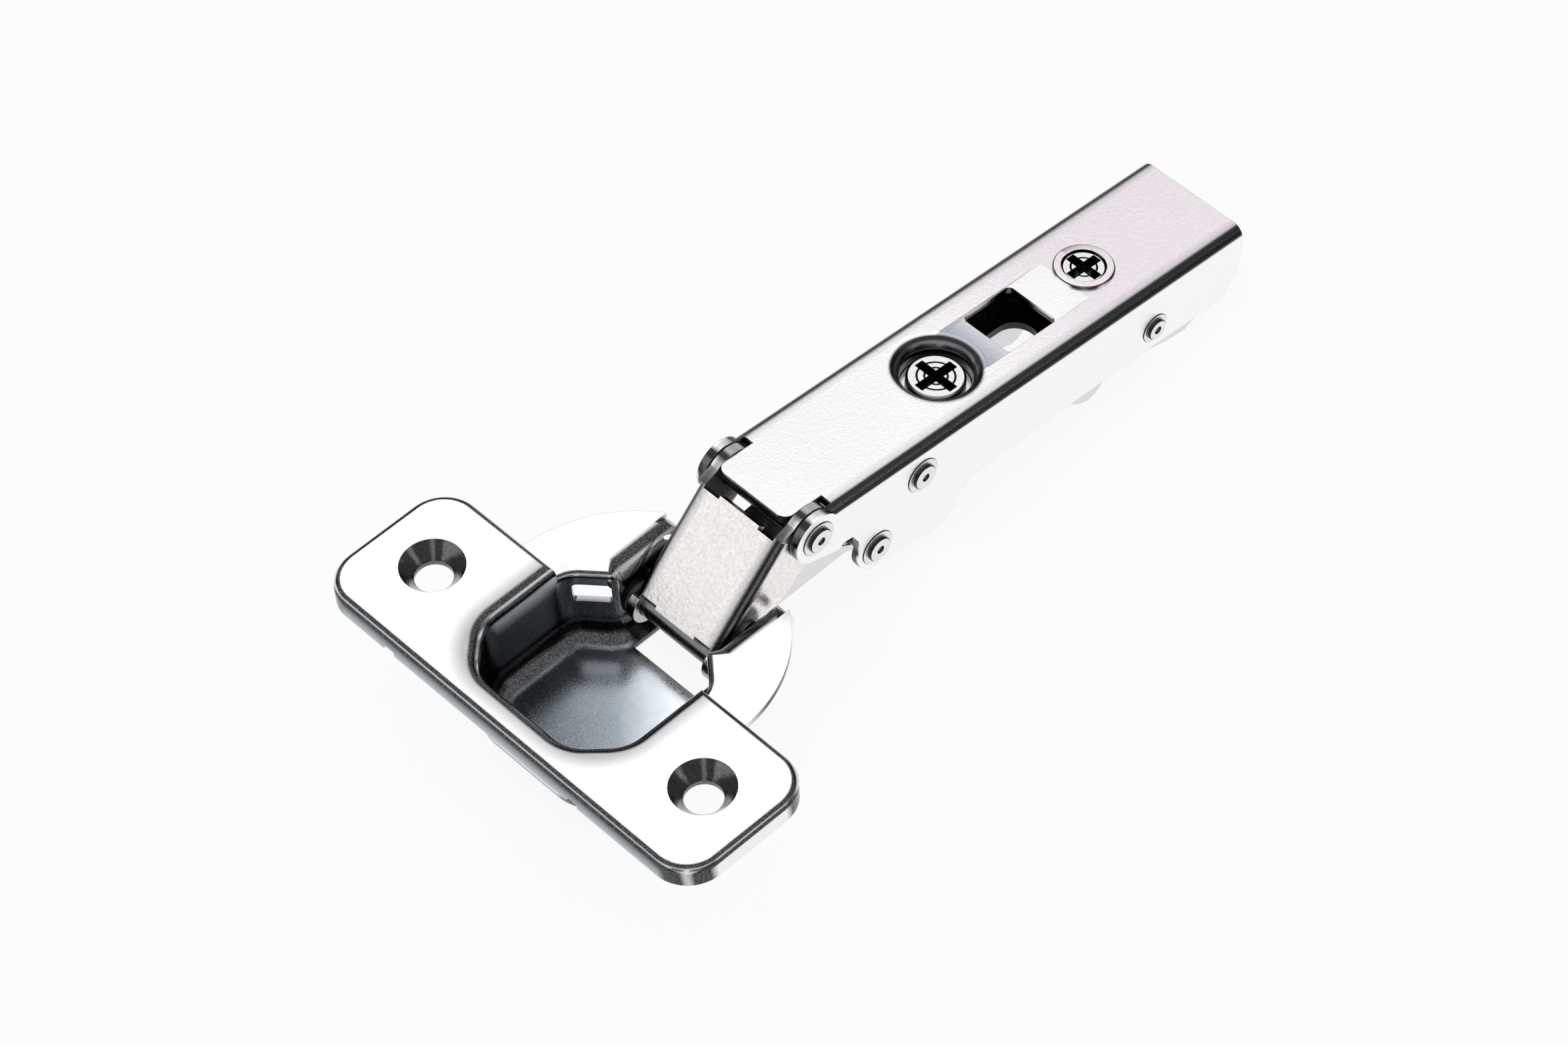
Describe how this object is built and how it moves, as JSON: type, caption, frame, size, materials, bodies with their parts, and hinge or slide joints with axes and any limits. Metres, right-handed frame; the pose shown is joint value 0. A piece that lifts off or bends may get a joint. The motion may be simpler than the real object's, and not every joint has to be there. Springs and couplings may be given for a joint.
{
  "type": "concealed cup hinge",
  "caption": "Concealed cabinet door hinge with a screw-on cup, a linked arm that swings over the cup, adjusting screws and a clip-on latch, shown open.",
  "frame": {"origin": "cup axis where it meets the face of the door", "axes": "+X from the cup towards the arm, +Z out of the door face, +Y along the wing plate"},
  "size_m": [0.113, 0.0618, 0.0199],
  "materials": {
    "cup_steel": "bright nickel plate over drawn steel",
    "arm_steel": "bright nickel plate with a fine pebbled grain",
    "link_steel": "bright nickel plate with a fine pebbled grain",
    "inner_steel": "nickel plate",
    "rivet_steel": "bright nickel plate",
    "pin_steel": "ground steel",
    "rail_steel": "bright nickel plate",
    "screw_steel": "bright nickel plate",
    "spring_steel": "drawn spring wire",
    "nylon": "natural nylon"
  },
  "bodies": {
    "cup": {"cup": "cup_steel", "cup_pin_outer": "pin_steel", "cup_pin_inner": "pin_steel", "link_washer_left": "nylon", "link_washer_right": "nylon"},
    "outer_link": {"outer_link": "link_steel"},
    "inner_link": {"inner_link": "inner_steel"},
    "arm": {"arm": "arm_steel", "arm_pin_outer": "rivet_steel", "arm_pin_inner": "rivet_steel", "spring_pin": "rivet_steel", "spring_sleeve": "nylon", "closing_spring": "spring_steel", "latch_pin": "rivet_steel", "latch_spring": "spring_steel"},
    "side_screw": {"side_screw": "screw_steel"},
    "depth_screw": {"depth_screw": "screw_steel", "depth_screw_clip": "pin_steel"},
    "rail": {"adjusting_rail": "rail_steel", "rail_hook_pin": "pin_steel"},
    "latch": {"clip_latch": "rail_steel"}
  },
  "joints": [
    {"name": "outer_link_swing", "type": "hinge", "parent": "cup", "child": "outer_link", "pos_m": [0.00808, 0, -0.0055], "axis": [0, -1, 0], "range_deg": [0, 122.48]},
    {"name": "arm_swing", "type": "hinge", "parent": "outer_link", "child": "arm", "pos_m": [0.02228, 0, 0.00581], "axis": [0, -1, 0], "range_deg": [-26.8, 0]},
    {"name": "inner_link_swing", "type": "hinge", "parent": "cup", "child": "inner_link", "pos_m": [0.0123, 0, -0.0037], "axis": [0, -1, 0], "range_deg": [0, 132.5]},
    {"name": "side_screw_turn", "type": "hinge", "parent": "arm", "child": "side_screw", "pos_m": [0.04954, 0, 0.00619], "axis": [0.0991, 0, 0.9951], "range_deg": [-180, 180]},
    {"name": "depth_screw_turn", "type": "hinge", "parent": "arm", "child": "depth_screw", "pos_m": [0.07411, 0, 0.00375], "axis": [0.0991, 0, 0.9951], "range_deg": [-60, 60]},
    {"name": "rail_slide", "type": "slide", "parent": "arm", "child": "rail", "axis": [0.9951, 0, -0.0991], "range_m": [-0.0013, 0.0013]},
    {"name": "latch_swing", "type": "hinge", "parent": "arm", "child": "latch", "pos_m": [0.07769, 0, -0.00348], "axis": [0, -1, 0], "range_deg": [0, 12], "stiffness_Nm_per_rad": 0.02, "springref_deg": -11.46, "deforming": ["latch_spring"]}
  ],
  "couplings": [
    {"joint": "arm_swing", "follows": "outer_link_swing", "ratio": -0.21875},
    {"joint": "inner_link_swing", "follows": "outer_link_swing", "ratio": 1.0817},
    {"joint": "depth_screw_turn", "follows": "rail_slide", "rad_per_m": -805.5}
  ]
}
